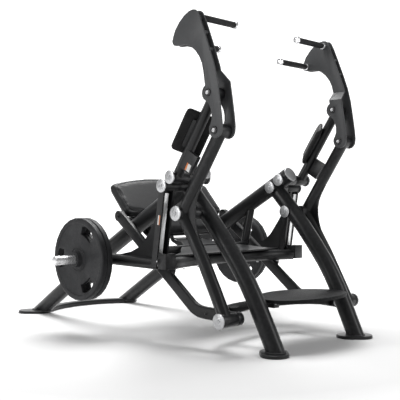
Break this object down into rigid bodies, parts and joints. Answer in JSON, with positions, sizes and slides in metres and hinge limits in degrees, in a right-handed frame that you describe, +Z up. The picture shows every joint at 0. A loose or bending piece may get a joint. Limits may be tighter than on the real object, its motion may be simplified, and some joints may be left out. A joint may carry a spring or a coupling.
{
  "type": "plate-loaded pulldown machine",
  "caption": "Plate-loaded gym pulldown with hand arms on linked levers, weight horns on hanging links and a swinging carriage with seat and step.",
  "frame": {"origin": "centre of the bounding box at floor level", "axes": "+X across the machine to the right side, -Y towards the step and hand arms, +Z up"},
  "size_m": [1.646, 2.1548, 1.653],
  "materials": {
    "black_powder_coat": "satin powder coat",
    "grey_plate": "satin powder coat",
    "silver_metal": "turned",
    "bright_chrome": "polished",
    "black_rubber": "matte",
    "weight_rubber": "satin",
    "seat_vinyl": "fine grained"
  },
  "bodies": {
    "carriage_body": {"carriage_arch_tube": "black_powder_coat", "carriage_low_tube": "black_powder_coat", "left_carriage_rail": "black_powder_coat", "right_carriage_rail": "black_powder_coat", "seat_frame": "black_powder_coat", "seat_pad": "seat_vinyl", "step_plate": "grey_plate"},
    "left_link_body": {"left_arm_pad": "black_rubber", "left_parallel_link": "black_powder_coat"},
    "frame_body": {"left_front_foot_plate": "black_powder_coat", "left_front_leg": "black_powder_coat", "left_lever_axle": "silver_metal", "left_main_tube": "black_powder_coat", "left_main_tube_cap": "silver_metal", "left_rear_foot_plate": "black_powder_coat", "left_second_boss_axle": "silver_metal", "left_upper_boss_axle": "silver_metal", "rear_cross_bar": "black_powder_coat", "right_front_foot_plate": "black_powder_coat", "right_front_leg": "black_powder_coat", "right_lever_axle": "silver_metal", "right_main_tube": "black_powder_coat", "right_main_tube_cap": "silver_metal", "right_rear_foot_plate": "black_powder_coat", "right_second_boss_axle": "silver_metal", "right_upper_boss_axle": "silver_metal", "under_frame": "black_powder_coat"},
    "left_hand_arm_body": {"left_hand_arm_inner_plate": "grey_plate", "left_hand_arm_lower_pin": "silver_metal", "left_hand_arm_outer_plate": "grey_plate", "left_hand_arm_upper_pin": "silver_metal", "left_lower_grip": "black_rubber", "left_lower_handle_bar": "bright_chrome", "left_upper_grip": "black_rubber", "left_upper_handle_bar": "bright_chrome"},
    "left_weight_body": {"left_inner_weight_plate": "weight_rubber", "left_outer_weight_plate": "weight_rubber", "left_weight_horn": "bright_chrome", "left_weight_lever": "black_powder_coat", "left_weight_lever_strip": "silver_metal"},
    "left_lever_body": {"left_lever": "black_powder_coat", "left_lever_foot_axle": "silver_metal"},
    "right_link_body": {"right_arm_pad": "black_rubber", "right_parallel_link": "black_powder_coat"},
    "right_hand_arm_body": {"right_hand_arm_inner_plate": "grey_plate", "right_hand_arm_lower_pin": "silver_metal", "right_hand_arm_outer_plate": "grey_plate", "right_hand_arm_upper_pin": "silver_metal", "right_lower_grip": "black_rubber", "right_lower_handle_bar": "bright_chrome", "right_upper_grip": "black_rubber", "right_upper_handle_bar": "bright_chrome"},
    "right_weight_body": {"right_inner_weight_plate": "weight_rubber", "right_outer_weight_plate": "weight_rubber", "right_weight_horn": "bright_chrome", "right_weight_lever": "black_powder_coat", "right_weight_lever_strip": "silver_metal"},
    "right_lever_body": {"right_lever": "black_powder_coat", "right_lever_foot_axle": "silver_metal"}
  },
  "joints": [
    {"name": "left_lever_hinge", "type": "hinge", "parent": "frame_body", "child": "left_lever_body", "pos_m": [-0.5, -0.53865, 0.6665], "axis": [1, 0, 0], "range_deg": [0, 20]},
    {"name": "left_link_hinge", "type": "hinge", "parent": "frame_body", "child": "left_link_body", "pos_m": [-0.5, -0.49665, 0.8475], "axis": [1, 0, 0], "range_deg": [0, 20]},
    {"name": "left_hand_arm_hinge", "type": "hinge", "parent": "left_lever_body", "child": "left_hand_arm_body", "pos_m": [-0.5, -0.80465, 1.061], "axis": [1, 0, 0], "range_deg": [-20, 0]},
    {"name": "left_weight_hinge", "type": "hinge", "parent": "frame_body", "child": "left_weight_body", "pos_m": [-0.5, -0.43365, 0.805], "axis": [1, 0, 0], "range_deg": [0, 17.6]},
    {"name": "right_lever_hinge", "type": "hinge", "parent": "frame_body", "child": "right_lever_body", "pos_m": [0.5, -0.53865, 0.6665], "axis": [1, 0, 0], "range_deg": [0, 20]},
    {"name": "right_link_hinge", "type": "hinge", "parent": "frame_body", "child": "right_link_body", "pos_m": [0.5, -0.49665, 0.8475], "axis": [1, 0, 0], "range_deg": [0, 20]},
    {"name": "right_hand_arm_hinge", "type": "hinge", "parent": "right_lever_body", "child": "right_hand_arm_body", "pos_m": [0.5, -0.80465, 1.061], "axis": [1, 0, 0], "range_deg": [-20, 0]},
    {"name": "right_weight_hinge", "type": "hinge", "parent": "frame_body", "child": "right_weight_body", "pos_m": [0.5, -0.43365, 0.805], "axis": [1, 0, 0], "range_deg": [0, 17.6]},
    {"name": "carriage_hinge", "type": "hinge", "parent": "left_lever_body", "child": "carriage_body", "pos_m": [-0.42, -0.83465, 0.166], "axis": [1, 0, 0], "range_deg": [-5.9, 0]}
  ],
  "couplings": [
    {"joint": "right_lever_hinge", "follows": "left_lever_hinge", "ratio": 1},
    {"joint": "left_link_hinge", "follows": "left_lever_hinge", "ratio": 1},
    {"joint": "left_hand_arm_hinge", "follows": "left_lever_hinge", "ratio": -1},
    {"joint": "left_weight_hinge", "follows": "left_lever_hinge", "ratio": 0.88},
    {"joint": "right_link_hinge", "follows": "left_lever_hinge", "ratio": 1},
    {"joint": "right_hand_arm_hinge", "follows": "left_lever_hinge", "ratio": -1},
    {"joint": "right_weight_hinge", "follows": "left_lever_hinge", "ratio": 0.88},
    {"joint": "carriage_hinge", "follows": "left_lever_hinge", "ratio": -0.295}
  ]
}
